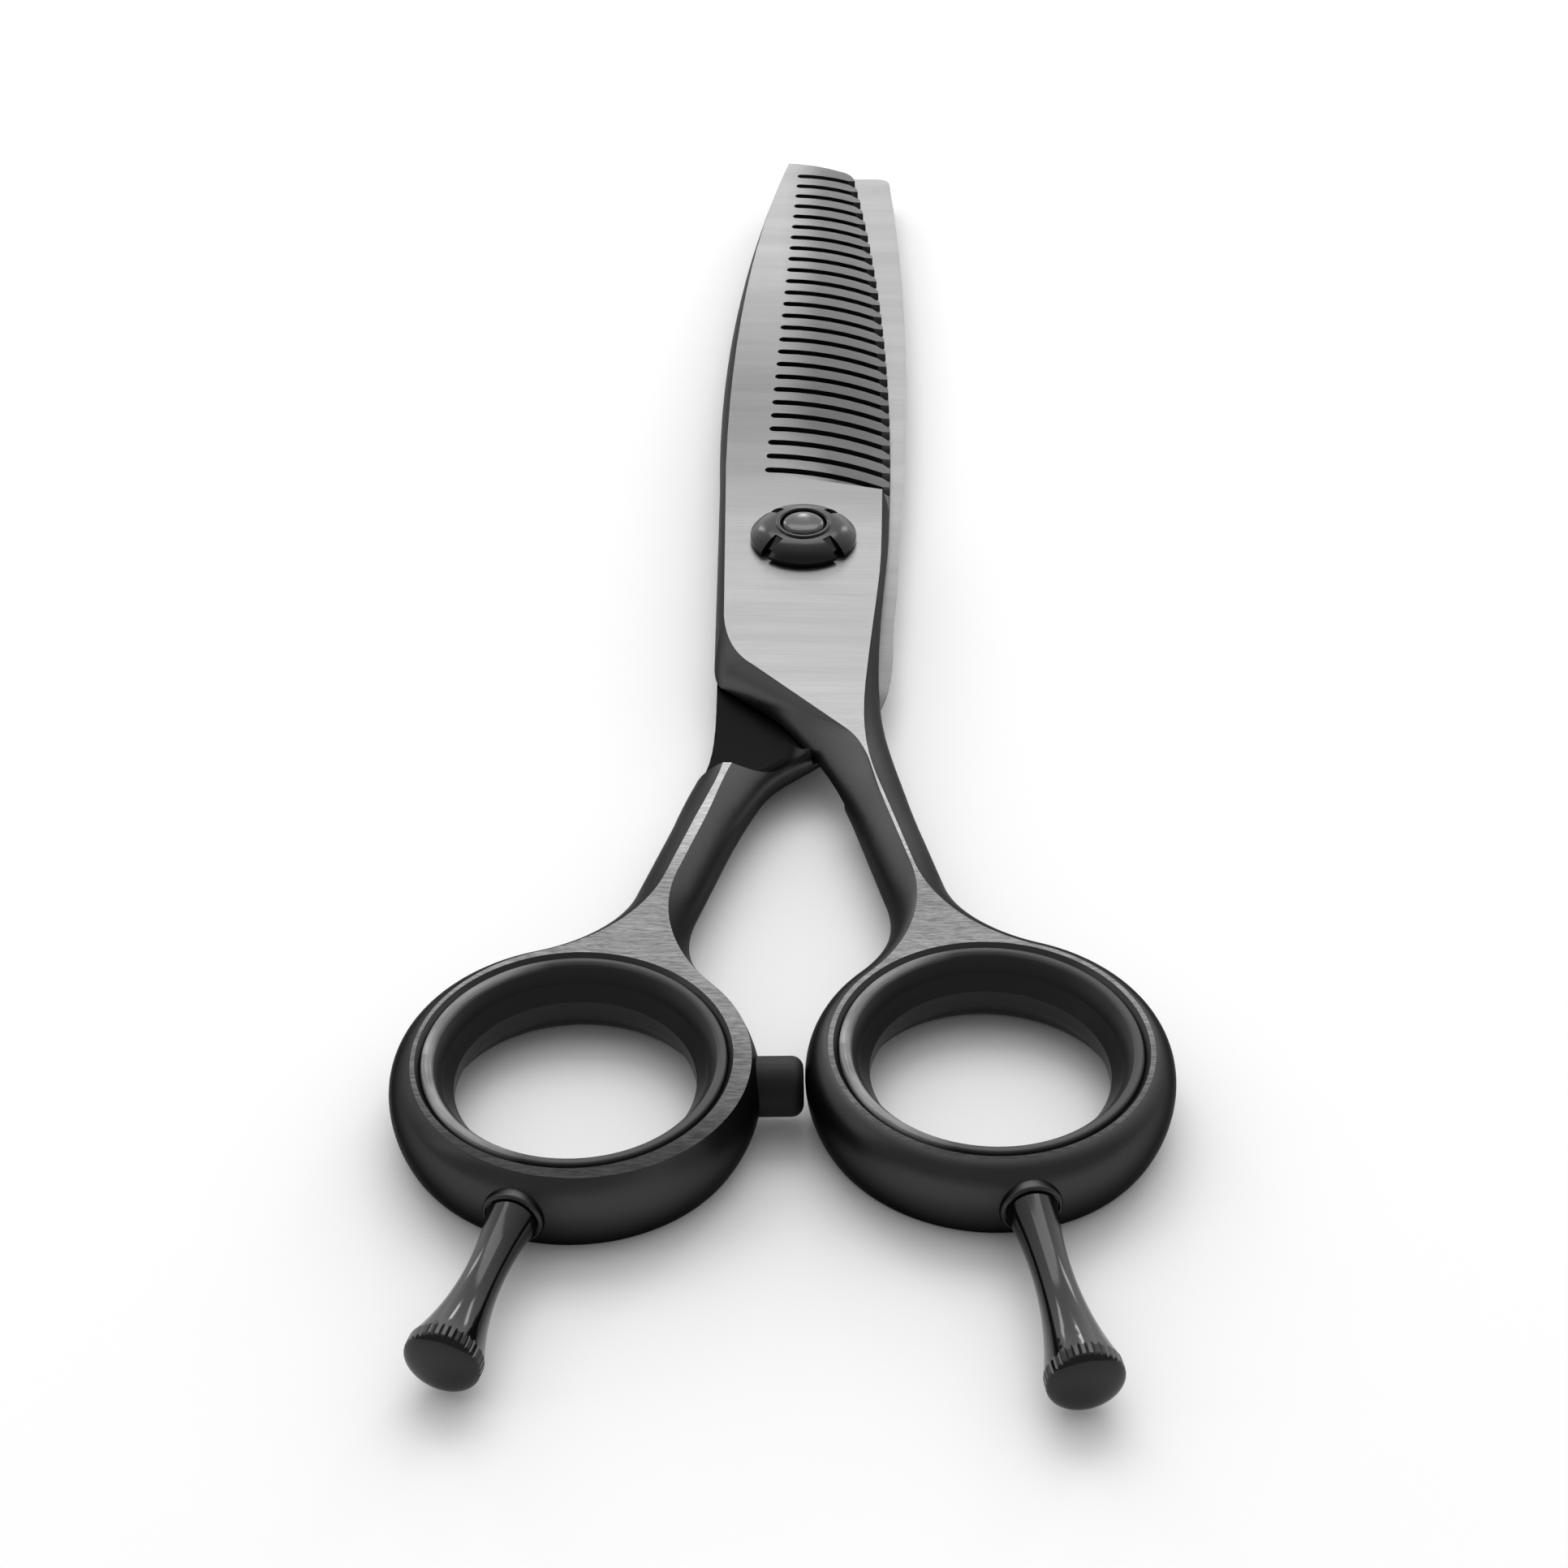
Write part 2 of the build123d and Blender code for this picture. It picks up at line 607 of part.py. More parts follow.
def finger_rest(ring, angle, rest_length):
    """Turned trumpet with a threaded stud; lengths are distances from the ring centre."""
    seat = rest_seat - boss_socket_depth
    flare = rest_length - knurl_length - rest_dome_height
    length = rest_length - seat
    stud_end = ring_hole_radius + stud_gap
    foot_side = (seat, rest_base_radius - rest_foot_round[0])
    foot_top = (seat + rest_foot_round[1], rest_base_radius)
    with BuildPart() as rest:
        with BuildSketch(profile_plane(ring, angle)):
            with BuildLine():
                Polyline(
                    (stud_end, 0), (stud_end, rest_thread_radius - 0.01),
                    (seat, rest_thread_radius - 0.01), foot_side,
                )
                Bezier(foot_side, (seat, rest_base_radius), foot_top)
                Spline(
                    foot_top, (seat + rest_waist_share * length, rest_waist_radius),
                    (seat + rest_flare_share * length, rest_flare_radius), (flare, rest_end_radius),
                )
                Line((flare, rest_end_radius), (flare + knurl_length, rest_end_radius))
                Bezier(
                    (flare + knurl_length, rest_end_radius),
                    (rest_length - rest_dome_pull[0], rest_end_radius),
                    (rest_length, rest_dome_pull[1]), (rest_length, 0),
                )
                Line((rest_length, 0), (stud_end, 0))
            make_face()
        outward = (cos(radians(angle)), sin(radians(angle)), 0)
        revolve(axis=Axis((ring[0], ring[1], mid_height), outward))
        with BuildSketch(radial_plane(ring, angle, flare - knurl_overrun)):
            with PolarLocations(rest_end_radius + 0.03, knurl_count):
                Rectangle(knurl_groove, knurl_groove, rotation=45)
        extrude(amount=knurl_length + 2 * knurl_overrun, mode=Mode.SUBTRACT)
    return rest.part


for name, ring, angle, rest_length in (
    ("comb_finger_rest", comb_ring, comb_rest_angle, comb_rest_length),
    ("plain_finger_rest", plain_ring, plain_rest_angle, plain_rest_length),
):
    rest = finger_rest(ring, angle, rest_length)
    rest.label = name
    export_step(rest, "parts/" + name + ".step")

with BuildPart() as bumper:
    with BuildSketch(profile_plane(plain_ring, bumper_angle)):
        with BuildLine():
            Polyline(
                (ring_hole_radius + 0.1, 0), (ring_hole_radius + 0.1, bumper_stem_radius - 0.02),
                (bumper_seat, bumper_stem_radius - 0.02), (bumper_seat, bumper_radius),
                (bumper_end, bumper_radius), (bumper_end, 0), (ring_hole_radius + 0.1, 0),
            )
        make_face()
    outward = profile_plane(plain_ring, bumper_angle).x_dir
    bumper_axis = Axis((plain_ring[0], plain_ring[1], mid_height), outward)
    revolve(axis=bumper_axis)
    fillet(bumper.faces().sort_by(bumper_axis)[-1].edges(), bumper_edge_radius)
bumper.part.label = "bumper"
export_step(bumper.part, "parts/bumper.step")


# ---------------------------------------------------------------- pivot
with BuildPart() as pivot_screw:
    with BuildSketch(Plane.XZ):
        with BuildLine():
            Polyline(
                (0, 0), (screw_head_radius - screw_head_chamfer, 0), (screw_head_radius, screw_head_chamfer),
                (screw_head_radius, screw_head_height), (screw_shank_radius, screw_head_height),
                (screw_shank_radius, screw_shoulder), (screw_thread_radius, screw_shoulder),
                (screw_thread_radius, screw_thread_end), (screw_dome_radius, screw_dome_start),
            )
            Bezier(
                (screw_dome_radius, screw_dome_start), (screw_dome_radius - 0.2, screw_top - 0.05),
                (0.8, screw_top), (0, screw_top),
            )
            Line((0, screw_top), (0, 0))
        make_face()
    revolve(axis=Axis.Z)
    with BuildSketch(Plane.XY.offset(screw_shoulder)):
        with Locations((flat_half_width + 1, 0), (-flat_half_width - 1, 0)):
            Rectangle(2, 6)
    extrude(amount=thrust_washer_height + 0.25, mode=Mode.SUBTRACT)
    with BuildSketch(Plane.XY):
        with PolarLocations(spanner_hole_reach, 2):
            Circle(spanner_hole_radius)
    extrude(amount=spanner_hole_depth, mode=Mode.SUBTRACT)
pivot_screw.part.label = "pivot_screw"
export_step(pivot_screw.part, "parts/pivot_screw.step")

with BuildPart() as pivot_sleeve:
    with BuildSketch(Plane.XZ):
        with BuildLine():
            Polyline(
                (screw_shank_radius + fit, upper_bottom + 0.05), (sleeve_radius, upper_bottom + 0.05),
                (sleeve_radius, thickness - sleeve_flange_height),
                (sleeve_flange_radius, thickness - sleeve_flange_height),
                (sleeve_flange_radius, thickness - 0.02), (screw_shank_radius + fit, thickness - 0.02),
                (screw_shank_radius + fit, upper_bottom + 0.05),
            )
        make_face()
    revolve(axis=Axis.Z)
pivot_sleeve.part.label = "pivot_sleeve"
export_step(pivot_sleeve.part, "parts/pivot_sleeve.step")

with BuildPart() as blade_washer:
    with BuildSketch(Plane.XY.offset(lower_top - washer_recess)):
        Circle(washer_radius)
        Circle(screw_shank_radius + fit, mode=Mode.SUBTRACT)
    extrude(amount=washer_recess + blade_gap - fit)
blade_washer.part.label = "blade_washer"
export_step(blade_washer.part, "parts/blade_washer.step")

with BuildPart() as thrust_washer:
    with BuildSketch(Plane.XY.offset(thickness + 0.02)):
        Circle(thrust_washer_radius)
        with BuildSketch(mode=Mode.PRIVATE) as keyed_hole:
            Circle(screw_thread_radius + fit)
            Rectangle(2 * (flat_half_width + fit), 6, mode=Mode.INTERSECT)
        add(keyed_hole.sketch, mode=Mode.SUBTRACT)
    extrude(amount=thrust_washer_height)
thrust_washer.part.label = "thrust_washer"
export_step(thrust_washer.part, "parts/thrust_washer.step")

with BuildPart() as click_spring:
    with BuildSketch(Plane.XZ):
        with BuildLine():
            Polyline(
                (spring_outer_radius, spring_foot), (spring_outer_radius, spring_foot + spring_sheet),
                (spring_inner_radius, spring_top), (spring_inner_radius, spring_top - spring_sheet),
                (spring_outer_radius, spring_foot),
            )
        make_face()
    revolve(axis=Axis.Z)
click_spring.part.label = "click_spring"
export_step(click_spring.part, "parts/click_spring.step")

with BuildPart() as tension_dial:
    with BuildSketch(Plane.XZ):
        with BuildLine():
            bore = screw_thread_radius + fit
            ceiling = dial_bottom + dial_pocket_height
            rim_foot = (bore + dial_rim_width, dial_top - 0.2)
            Polyline(
                dial_shoulder, (dial_radius, dial_bottom + dial_edge_chamfer),
                (dial_radius - dial_edge_chamfer, dial_bottom), (dial_pocket_radius, dial_bottom),
                (dial_pocket_radius, ceiling), (bore, ceiling), (bore, dial_top - 0.3),
            )
            ThreePointArc(
                (bore, dial_top - 0.3), (bore + dial_rim_width / 2, dial_top), rim_foot,
            )
            Bezier(rim_foot, (dial_radius - 0.9, dial_top - 0.3), dial_shoulder)
        make_face()
    revolve(axis=Axis.Z)
    for quarter in range(4):
        angle = radians(45 + 90 * quarter)
        outward = (cos(angle), sin(angle), 0)
        with BuildSketch(Plane(origin=(0, 0, 0), x_dir=outward, z_dir=(sin(angle), -cos(angle), 0))):
            with BuildLine():
                Polyline(
                    (dial_slot_start[0], dial_top + 1), dial_slot_start, dial_slot_bend,
                    (dial_slot_bend[0], dial_bottom - 1), (6, dial_bottom - 1), (6, dial_top + 1),
                    (dial_slot_start[0], dial_top + 1),
                )
            make_face()
        extrude(amount=dial_slot_width / 2, both=True, mode=Mode.SUBTRACT)
tension_dial.part.label = "tension_dial"
export_step(tension_dial.part, "parts/tension_dial.step")
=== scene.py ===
import math

import bpy
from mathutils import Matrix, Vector


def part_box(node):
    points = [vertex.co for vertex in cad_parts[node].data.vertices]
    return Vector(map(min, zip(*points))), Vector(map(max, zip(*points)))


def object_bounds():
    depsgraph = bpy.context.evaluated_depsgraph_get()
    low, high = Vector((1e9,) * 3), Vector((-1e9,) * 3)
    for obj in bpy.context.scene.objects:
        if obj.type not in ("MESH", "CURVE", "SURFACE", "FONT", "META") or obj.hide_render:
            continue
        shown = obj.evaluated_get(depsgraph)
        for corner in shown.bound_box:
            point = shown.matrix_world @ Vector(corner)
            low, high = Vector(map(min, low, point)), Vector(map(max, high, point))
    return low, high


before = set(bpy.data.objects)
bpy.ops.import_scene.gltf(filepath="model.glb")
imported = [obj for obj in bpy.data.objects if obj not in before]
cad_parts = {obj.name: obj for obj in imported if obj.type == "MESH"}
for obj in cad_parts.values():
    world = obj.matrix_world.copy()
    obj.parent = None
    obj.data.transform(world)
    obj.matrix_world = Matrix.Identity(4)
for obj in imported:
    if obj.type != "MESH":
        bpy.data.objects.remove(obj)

cad_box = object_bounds()

# ---------------------------------------------------------------- camera, measured from the pivot
face_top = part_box("comb_handle")[1].z
camera_back = 0.2441
camera_up = 0.1618
camera_side = 0.0049
camera_pitch = math.radians(37.75)
camera_yaw = math.radians(1.55)
camera_lens = 76.2
sensor_width = 36
nearest = 0.01

camera = bpy.data.objects.new("camera", bpy.data.cameras.new("camera"))
bpy.context.scene.collection.objects.link(camera)
camera.location = (camera_side, -camera_back, face_top + camera_up)
camera.rotation_euler = (math.pi / 2 - camera_pitch, 0, camera_yaw)
camera.data.lens = camera_lens
camera.data.sensor_width = sensor_width
camera.data.clip_start = nearest
bpy.context.scene.camera = camera

# ---------------------------------------------------------------- node helpers
noise_low = 0.3          # most of a noise's values lie between these
noise_high = 0.7
bump_depth = 0.00002


class Nodes:
    """Makes one material's shader nodes and links them."""

    def __init__(self, name):
        self.material = bpy.data.materials.new(name)
        self.material.use_nodes = True
        self.tree = self.material.node_tree
        self.tree.nodes.clear()
        self.shader = self.add("ShaderNodeBsdfPrincipled")
        output = self.add("ShaderNodeOutputMaterial")
        self.link(self.shader.outputs["BSDF"], output.inputs["Surface"])

    def add(self, kind):
        return self.tree.nodes.new(kind)

    def link(self, source, target):
        self.tree.links.new(source, target)

    def put(self, value, socket):
        """Links a socket, or sets a plain value straight on the target socket."""
        if isinstance(value, bpy.types.NodeSocket):
            self.link(value, socket)
        else:
            socket.default_value = value

    def set(self, name, value):
        self.put(value, self.shader.inputs[name])

    def place(self):
        return self.add("ShaderNodeTexCoord").outputs["Object"]

    def axis(self, vector, name):
        split = self.add("ShaderNodeSeparateXYZ")
        self.link(vector, split.inputs["Vector"])
        return split.outputs[name]

    def up(self):
        """How far the surface faces straight up, from -1 to 1."""
        return self.axis(self.add("ShaderNodeTexCoord").outputs["Normal"], "Z")

    def noise(self, scale, turn=0.0, detail=4.0, rough=0.6, distortion=0.0, vector=None):
        """Noise, scaled per metre along X, Y, Z and turned about Z; unequal scales give strokes."""
        mapping = self.add("ShaderNodeMapping")
        mapping.inputs["Rotation"].default_value = (0, 0, turn)
        mapping.inputs["Scale"].default_value = scale
        noise = self.add("ShaderNodeTexNoise")
        noise.inputs["Scale"].default_value = 1.0
        noise.inputs["Detail"].default_value = detail
        noise.inputs["Roughness"].default_value = rough
        noise.inputs["Distortion"].default_value = distortion
        self.link(vector or self.place(), mapping.inputs["Vector"])
        self.link(mapping.outputs["Vector"], noise.inputs["Vector"])
        return noise.outputs["Fac"]

    def remap(self, value, low, high, to_low, to_high):
        """Goes from to_low to to_high while the value goes from low to high, and stays there."""
        node = self.add("ShaderNodeMapRange")
        node.inputs["From Min"].default_value = low
        node.inputs["From Max"].default_value = high
        self.put(to_low, node.inputs["To Min"])
        self.put(to_high, node.inputs["To Max"])
        self.link(value, node.inputs["Value"])
        return node.outputs["Result"]

    def share(self, value, low, high):
        return self.remap(value, low, high, 0.0, 1.0)

    def mix(self, share, first, second):
        return self.remap(share, 0.0, 1.0, first, second)

    def vary(self, noise, to_low, to_high):
        return self.remap(noise, noise_low, noise_high, to_low, to_high)

    def math(self, operation, first, second=0.0):
        node = self.add("ShaderNodeMath")
        node.operation = operation
        self.put(first, node.inputs[0])
        self.put(second, node.inputs[1])
        return node.outputs[0]

    def times(self, first, second):
        return self.math("MULTIPLY", first, second)

    def larger(self, first, second):
        return self.math("MAXIMUM", first, second)

    def grey(self, value):
        join = self.add("ShaderNodeCombineColor")
        for socket in join.inputs[:3]:
            self.link(value, socket)
        return join.outputs["Color"]

    def around(self, centre):
        """Coordinates about a vertical axis: turn in radians, radius, height."""
        moved = self.add("ShaderNodeVectorMath")
        moved.operation = "SUBTRACT"
        moved.inputs[1].default_value = centre
        self.link(self.place(), moved.inputs[0])
        x = self.axis(moved.outputs[0], "X")
        y = self.axis(moved.outputs[0], "Y")
        squares = self.math("ADD", self.times(x, x), self.times(y, y))
        join = self.add("ShaderNodeCombineXYZ")
        self.link(self.math("ARCTAN2", y, x), join.inputs["X"])
        self.link(self.math("SQRT", squares), join.inputs["Y"])
        self.link(self.axis(moved.outputs[0], "Z"), join.inputs["Z"])
        return join.outputs["Vector"]

    def bump(self, height, strength, under=None):
        node = self.add("ShaderNodeBump")
        node.inputs["Strength"].default_value = strength
        node.inputs["Distance"].default_value = bump_depth
        self.link(height, node.inputs["Height"])
        if under:
            self.link(under, node.inputs["Normal"])
        return node.outputs["Normal"]


# ---------------------------------------------------------------- ground and coated steel
# along the shears, from the pivot toward the tips
ring_dark = -0.077       # the rings' narrow lips are less and less ground toward here
ring_light = -0.060
coat_dark = -0.058       # the same coat is darker on the rings, up to here, than on the shanks, where painted reflection lightens it
coat_light = -0.040
web_start = -0.0475      # the faces are ground dull from the rings up to here
web_end = -0.0405
heel_start = -0.026      # between each pair, the bare steel goes over to the next stretch's grey level
heel_end = -0.014
blade_start = 0.0
blade_end = 0.018
tip_start = 0.026
tip_end = 0.055
scratch_end = -0.022     # the web's wavy scratches fade out toward here
spine_start = -0.024
spine_full = -0.017
recess_low = -0.012      # the lower blade's inner face is coated up to here
recess_high = 0.008
recess_shade_start = -0.006        # painted shade darkens the recess behind the pivot from here back, fully so from the value below back
recess_shade_full = -0.012
teeth_start = 0.010
teeth_full = 0.020

# across
spine_across = 0.0062    # the lower blade's spine lies beyond here and is bare
tooth_root = -0.0034     # painted shade on the teeth's curved relief grows from here to the middle
tooth_middle = 0.0005

# heights
inner_face = 0.0033      # the lower half's inner face and spine lie below this height
outer_face = face_top - 0.0001
outer_share = 0.98       # above this share of the way between the two, a face is the outer one
# heights of the sunken recess behind the pivot, where the coat gets painted shade
recess_floor = 0.0029
recess_full = 0.0034
recess_top = 0.0048

# how far a face looks up, where 1 is straight up
flat_from, flat_full = 0.975, 0.99       # a flat ground face
tooth_from, tooth_full = 0.6, 0.8        # a tooth's sloping face
floor_from, floor_full = 0.5, 0.95       # the floor of the recess behind the pivot
spine_side, spine_top = 0.0, 0.9

# grey levels
# painted light: the same coat's grey on the rings, and on the shanks with painted reflection
ring_coat = 0.052
shank_coat = 0.088
# painted shade: the coat's grey in the sunken recess behind the pivot
recess_painted_shade = 0.010
# painted shade on the teeth: their grey at the middle, against at the root
tooth_painted_shade = 0.58
spine_side_painted_shade = 0.3   # painted shade: the bare spine's side, against its top
inner_low = 0.55         # the inner face at its start, against further along
coat_uneven = (0.9, 1.1)
ground_uneven = (0.9, 1.09)
scratch_noise = (0.38, 0.66)
scratch_levels = (0.6, 1.6)

# sheen
coat_tint = 0.32
ground_tint = 0.9
coat_rough = (0.32, 0.40)
ground_rough = (0.32, 0.42)
stroke_bump = 0.12
grain_bump = 0.06


def painted_recess_shade_share(nodes, height, along):
    """1 on the lower blade's sunken face behind the pivot, where painted shade darkens the coat."""
    low = nodes.remap(height, recess_full, recess_top, 1.0, 0.0)
    above = nodes.math("GREATER_THAN", height, recess_floor)
    facing = nodes.share(nodes.up(), floor_from, floor_full)
    behind = nodes.share(along, recess_shade_start, recess_shade_full)
    return nodes.times(nodes.times(low, above), nodes.times(facing, behind))


def steel_material(name, ridge, web, ring, heel, blade, tip, inner):
    """Black-coated steel whose upward faces are ground through, over blade and handle alike."""
    nodes = Nodes(name)
    place = nodes.place()
    across = nodes.axis(place, "X")
    along = nodes.axis(place, "Y")
    height = nodes.axis(place, "Z")
    fine = nodes.noise((160, 9000, 400), turn=0.06, detail=3.0)
    broad = nodes.noise((28, 420, 60), turn=0.16, detail=3.0)
    wavy = nodes.noise((800, 7500, 700), turn=0.2, detail=5.0, rough=0.72, distortion=0.8)
    clouds = nodes.noise((70, 70, 70), detail=2.0)
    grain = nodes.noise((2600, 2600, 2600), detail=2.0)

    # where the coat is ground off: flat outer faces, blades, the bare spine and sloping teeth
    is_outer = nodes.math("GREATER_THAN", nodes.share(height, inner_face, outer_face), outer_share)
    is_blade = nodes.share(along, recess_low, recess_high)
    flat = nodes.share(nodes.up(), flat_from, flat_full)
    ground = nodes.times(flat, nodes.larger(is_outer, is_blade))
    is_inner = nodes.math("LESS_THAN", height, inner_face)
    beyond = nodes.times(is_inner, nodes.math("GREATER_THAN", across, spine_across))
    bare_spine = nodes.times(beyond, nodes.share(along, spine_start, spine_full))
    toothed = nodes.share(along, teeth_start, teeth_full)
    sloping = nodes.times(toothed, nodes.share(nodes.up(), tooth_from, tooth_full))
    ground = nodes.larger(nodes.larger(ground, bare_spine), sloping)

    # how bright the bare steel is: its ground finish, with painted highlight making the ridge and
    # the tips brighter
    level = nodes.remap(along, ring_dark, ring_light, ring, web)
    level = nodes.remap(along, web_start, web_end, level, ridge)
    level = nodes.remap(along, heel_start, heel_end, level, heel)
    level = nodes.remap(along, blade_start, blade_end, level, blade)
    level = nodes.remap(along, tip_start, tip_end, level, tip)
    # painted shade on the teeth's curved relief
    teeth_painted_shade = nodes.remap(across, tooth_root, tooth_middle, 1.0, tooth_painted_shade)
    level = nodes.times(level, nodes.mix(toothed, 1.0, teeth_painted_shade))
    inner_level = nodes.remap(along, spine_start, recess_high, inner_low * inner, inner)
    level = nodes.mix(is_inner, level, inner_level)
    level = nodes.times(level, nodes.vary(fine, *ground_uneven))
    level = nodes.times(level, nodes.vary(broad, *ground_uneven))
    near_ring = nodes.share(along, scratch_end, web_start)
    scratch = nodes.remap(wavy, *scratch_noise, *scratch_levels)
    level = nodes.times(level, nodes.mix(near_ring, 1.0, scratch))
    # painted shade: the bare spine's sides are darker than its top
    spine_painted_shade = nodes.remap(nodes.up(), spine_side, spine_top, spine_side_painted_shade, 1.0)
    level = nodes.times(level, nodes.mix(bare_spine, 1.0, spine_painted_shade))

    coat = nodes.vary(clouds, *coat_uneven)
    # painted reflection lightens the coat on the shanks against the rings
    coat = nodes.times(coat, nodes.remap(along, coat_dark, coat_light, ring_coat, shank_coat))
    # painted shade darkens the coat in the sunken recess behind the pivot
    coat = nodes.mix(painted_recess_shade_share(nodes, height, along), coat, recess_painted_shade)

    rough = nodes.mix(ground, nodes.vary(clouds, *coat_rough), nodes.vary(fine, *ground_rough))
    strokes = nodes.times(nodes.math("ADD", fine, wavy), ground)
    nodes.set("Base Color", nodes.grey(nodes.mix(ground, coat, level)))
    nodes.set("Metallic", 1.0)
    nodes.set("Specular Tint", nodes.grey(nodes.mix(ground, coat_tint, ground_tint)))
    nodes.set("Roughness", rough)
    nodes.set("Normal", nodes.bump(strokes, stroke_bump, nodes.bump(grain, grain_bump)))
    return nodes.material


# ---------------------------------------------------------------- other materials
coat_grain = 1800
coat_bump = 0.08
rim_inner = 0.0101       # a liner's pale rim starts between these radii
rim_outer = 0.0103
rubbed_right = 0.03      # the rim is rubbed most on its left, and this much on its right
rubbed_from = -0.25      # cosine of the turn about the ring's centre: 1 is right, -1 is left
rubbed_full = -0.9
patch_noise = (0.38, 0.62)
liner_uneven = (0.4, 1.0)
liner_grey = 0.009
rubbed_grey = 0.5
liner_rough = 0.40
rubbed_rough = 0.5
liner_specular = 0.32
liner_bump = 0.06


def coat_material(name, dark, light, roughness, specular=0.5):
    """Dark coating, rubber, nylon or spring steel with a fine grain and a little unevenness."""
    nodes = Nodes(name)
    speckle = nodes.noise((coat_grain, coat_grain, coat_grain))
    clouds = nodes.noise((140, 140, 140), detail=3.0)
    nodes.set("Base Color", nodes.grey(nodes.vary(clouds, dark, light)))
    nodes.set("Roughness", nodes.vary(clouds, roughness * 0.85, roughness * 1.15))
    nodes.set("Specular IOR Level", specular)
    nodes.set("Normal", nodes.bump(speckle, coat_bump))
    return nodes.material


def liner_material(name, node):
    """Moulded liner: satin, with a rim rubbed pale in streaks along its length."""
    low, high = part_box(node)
    nodes = Nodes(name)
    polar = nodes.around((low + high) / 2)
    streaks = nodes.noise((2.2, 9000, 3000), rough=0.65, vector=polar)
    patches = nodes.noise((1.1, 260, 200), detail=3.0, vector=polar)
    rim_share = nodes.share(nodes.axis(polar, "Y"), rim_inner, rim_outer)
    rightness = nodes.math("COSINE", nodes.axis(polar, "X"))
    toward_left = nodes.remap(rightness, rubbed_from, rubbed_full, rubbed_right, 1.0)
    patchy = nodes.times(toward_left, nodes.remap(patches, *patch_noise, *liner_uneven))
    rubbed = nodes.times(rim_share, nodes.times(patchy, nodes.vary(streaks, *liner_uneven)))
    nodes.set("Base Color", nodes.grey(nodes.mix(rubbed, liner_grey, rubbed_grey)))
    nodes.set("Roughness", nodes.mix(rubbed, liner_rough, rubbed_rough))
    nodes.set("Specular IOR Level", liner_specular)
    nodes.set("Normal", nodes.bump(streaks, liner_bump))
    return nodes.material


def use(material, *names):
    for name in names:
        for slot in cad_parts[name].material_slots:
            slot.material = material


# steel_material takes the grey levels of the bare steel along the shears; coat_material takes the
# darkest and lightest grey, the roughness and the specular level
# the ridge and tip levels hold painted highlight on top of the ground finish
steel = steel_material(
    "shears_steel",
    ridge=0.236, web=0.11, ring=0.019, heel=0.216, blade=0.123, tip=0.204, inner=0.208,
)
use(steel, "comb_blade", "comb_handle", "plain_blade", "plain_handle")
use(coat_material("gloss_coat", 0.002, 0.005, 0.12, 0.34), "comb_finger_rest", "plain_finger_rest")
use(liner_material("comb_liner", "comb_ring_insert"), "comb_ring_insert")
use(liner_material("plain_liner", "plain_ring_insert"), "plain_ring_insert")
use(coat_material("rubber", 0.004, 0.008, 0.6, 0.25), "bumper")
use(coat_material("dial_coat", 0.001, 0.003, 0.18, 0.34), "tension_dial")
use(coat_material("screw_coat", 0.003, 0.007, 0.2, 0.6), "pivot_screw")
use(coat_material("nylon", 0.62, 0.7, 0.5), "pivot_sleeve", "blade_washer")
use(coat_material("spring_steel", 0.3, 0.4, 0.3), "thrust_washer", "click_spring")

# ---------------------------------------------------------------- floor, light, background
floor_reach = 15.0
floor_drop = 0.00005
floor_grey = 0.9
floor_light = 0.92
sky_front = 0.38         # the background's strength in front of the shears and behind them
sky_back = 1.6
sky_direction = (0, 0.88, 0.475)
sky_start = 0.1          # the strength goes up between these cosines from that direction
sky_full = 0.9

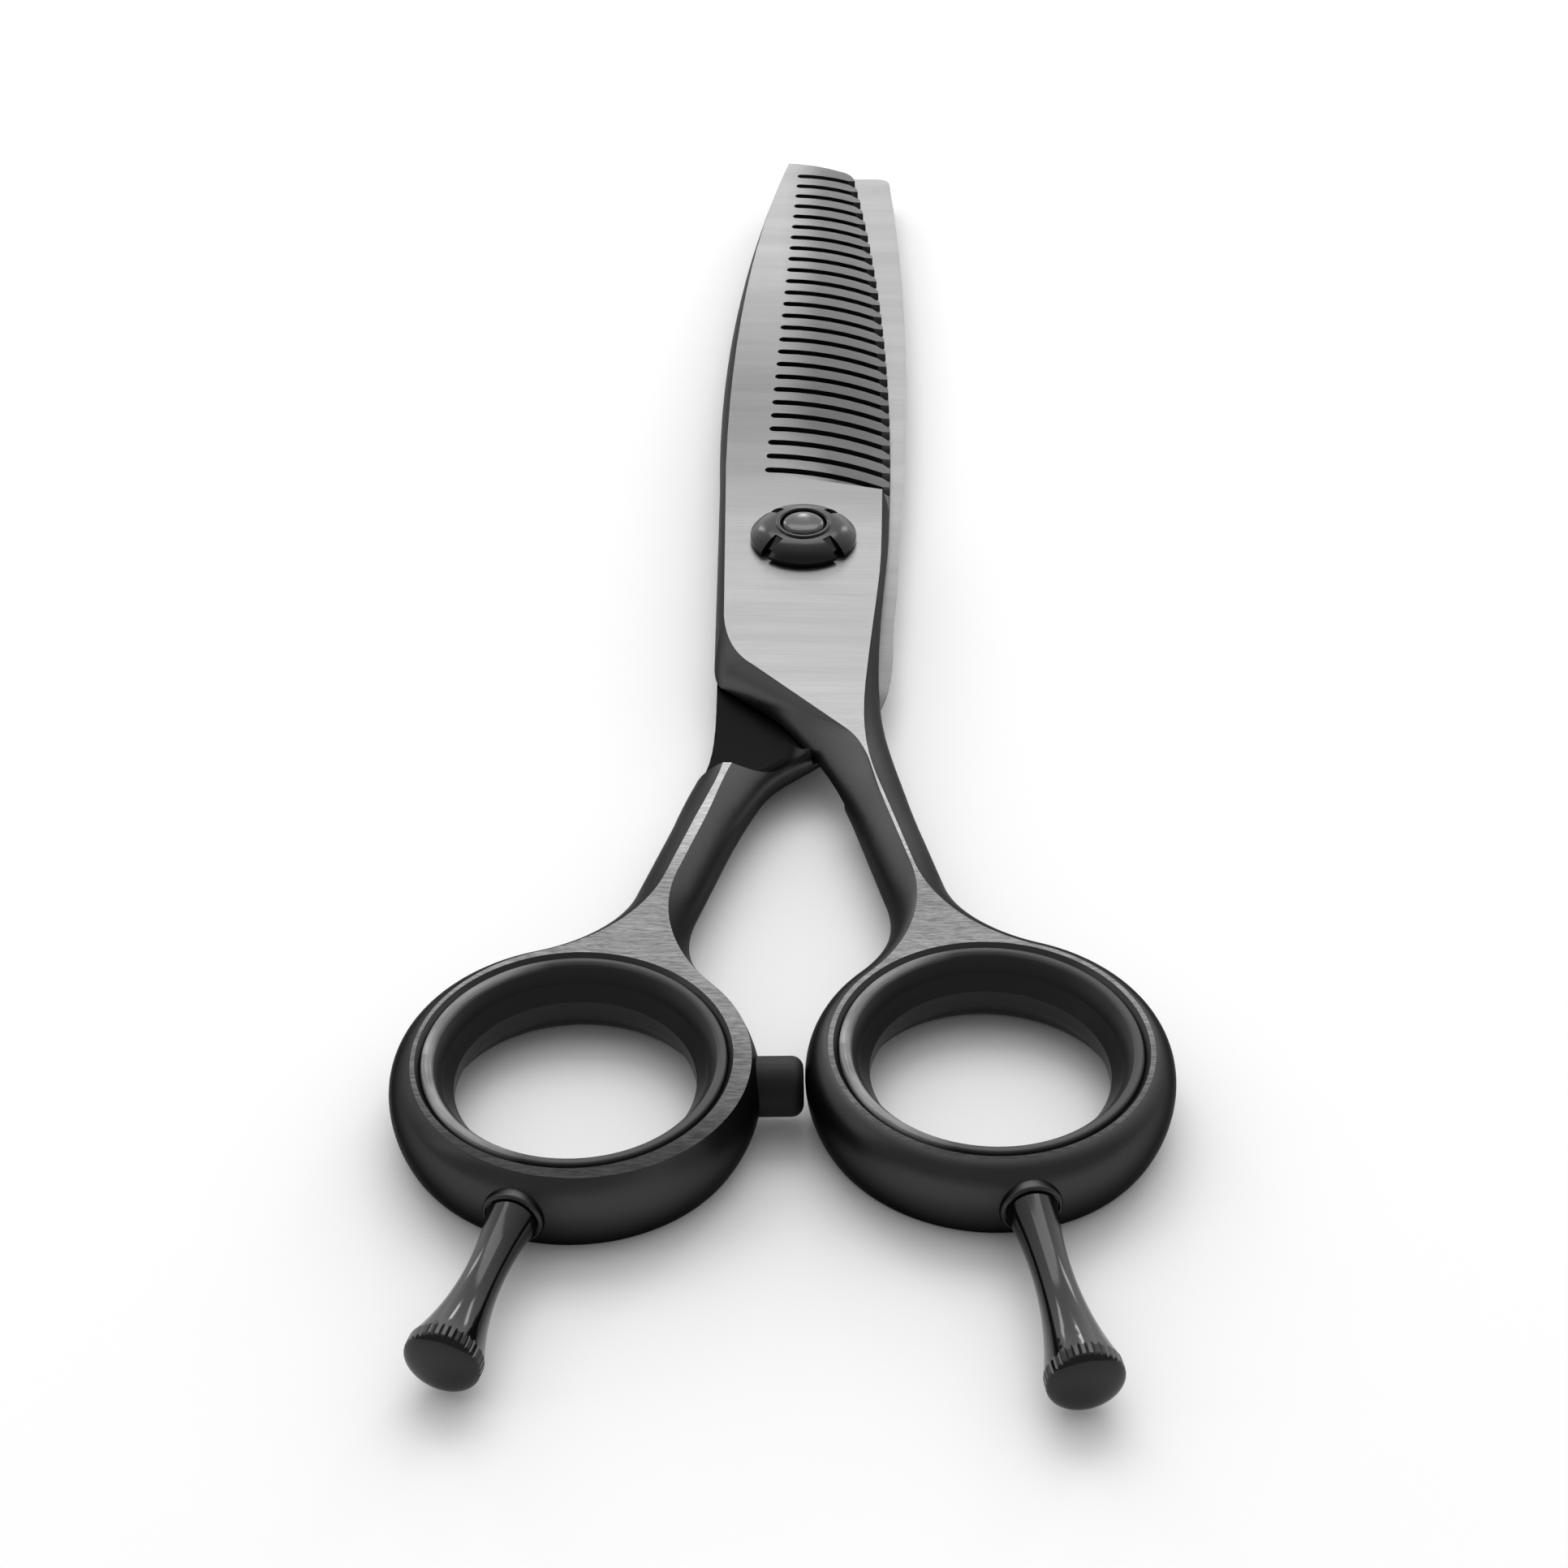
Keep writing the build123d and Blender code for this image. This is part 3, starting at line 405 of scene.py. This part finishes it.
floor_mesh = bpy.data.meshes.new("floor")
floor_corners = [
    (side_x * floor_reach, side_y * floor_reach, 0)
    for side_x, side_y in ((-1, -1), (1, -1), (1, 1), (-1, 1))
]
floor_mesh.from_pydata(floor_corners, [], [(0, 1, 2, 3)])
floor = bpy.data.objects.new("floor", floor_mesh)
floor.location.z = cad_box[0].z - floor_drop
bpy.context.scene.collection.objects.link(floor)
floor_paint = Nodes("floor_paint")
floor_shade = floor_paint.vary(floor_paint.noise((9, 9, 9)), floor_grey, floor_light)
floor_paint.set("Base Color", floor_paint.grey(floor_shade))
floor_paint.set("Roughness", 0.9)
floor_paint.set("Specular IOR Level", 0.1)
floor_mesh.materials.append(floor_paint.material)


def softbox(name, position, target, size, power):
    """Rectangular lamp that faces the target; size is its width and height."""
    light = bpy.data.lights.new(name, "AREA")
    light.shape = "RECTANGLE"
    light.size, light.size_y = size
    light.energy = power
    lamp = bpy.data.objects.new(name, light)
    lamp.location = position
    toward = Vector(target) - Vector(position)
    lamp.rotation_euler = toward.to_track_quat("-Z", "Y").to_euler()
    bpy.context.scene.collection.objects.link(lamp)


softbox("back_top", (-0.02, 0.50, 0.72), (0, 0, 0), (0.8, 0.36), 2.3)
softbox("back_lamp", (-0.02, 0.85, 0.36), (0, 0, 0), (0.06, 0.16), 0.26)
softbox("left_lamp", (-0.50, 0.76, 0.36), (0, -0.04, 0), (0.09, 0.28), 0.4)
softbox("right_lamp", (0.46, 0.78, 0.36), (0, -0.04, 0), (0.09, 0.28), 0.4)
softbox("left_strip", (-0.75, -0.15, 0.42), (0, -0.04, 0), (0.10, 0.5), 0.25)

world = bpy.data.worlds.new("studio")
bpy.context.scene.world = world
world.use_nodes = True
sky = world.node_tree
background = sky.nodes["Background"]
direction = sky.nodes.new("ShaderNodeTexCoord")
toward_light = sky.nodes.new("ShaderNodeVectorMath")
toward_light.operation = "DOT_PRODUCT"
toward_light.inputs[1].default_value = sky_direction
sky_ramp = sky.nodes.new("ShaderNodeMapRange")
sky_ramp.inputs["From Min"].default_value = sky_start
sky_ramp.inputs["From Max"].default_value = sky_full
sky_ramp.inputs["To Min"].default_value = sky_front
sky_ramp.inputs["To Max"].default_value = sky_back
sky.links.new(direction.outputs["Generated"], toward_light.inputs[0])
sky.links.new(toward_light.outputs["Value"], sky_ramp.inputs["Value"])
sky.links.new(sky_ramp.outputs["Result"], background.inputs["Strength"])
background.inputs["Color"].default_value = (1, 1, 1, 1)

scene = bpy.context.scene
scene.view_settings.view_transform = "Standard"
scene.view_settings.look = "None"
